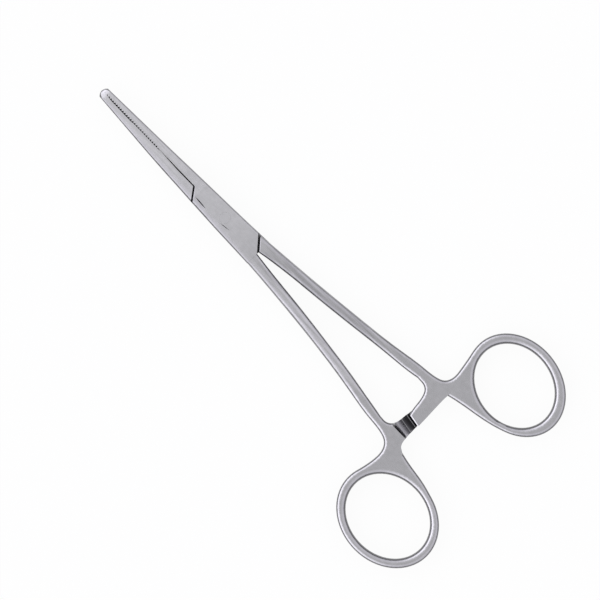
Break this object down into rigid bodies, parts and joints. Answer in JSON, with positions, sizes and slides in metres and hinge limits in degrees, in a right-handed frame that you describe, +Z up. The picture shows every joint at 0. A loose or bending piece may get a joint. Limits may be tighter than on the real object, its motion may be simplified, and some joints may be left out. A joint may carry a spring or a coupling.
{
  "type": "haemostatic forceps",
  "caption": "Straight locking haemostatic forceps with a box lock, ratcheted shanks, oval finger rings and cross-serrated jaws, shown closed.",
  "frame": {"origin": "where the pivot axis meets the underside of the box lock, the face the closed forceps rests on", "axes": "+X from the finger rings to the jaw tips, +Y towards the ring of the half that carries the box, +Z up along the pivot axis, out of the face that shows the upper ratchet bar"},
  "size_m": [0.14, 0.0688, 0.0052],
  "materials": {
    "satin_steel": "satin",
    "pin_steel": "satin, ground flush"
  },
  "bodies": {
    "box": {"box_half": "satin_steel", "pivot_pin": "pin_steel"},
    "tongue": {"tongue_half": "satin_steel"}
  },
  "joints": [
    {"name": "pivot", "type": "hinge", "parent": "box", "child": "tongue", "pos_m": [0, 0, 0.0026], "axis": [0, 0, 1], "range_deg": [0, 60]}
  ]
}
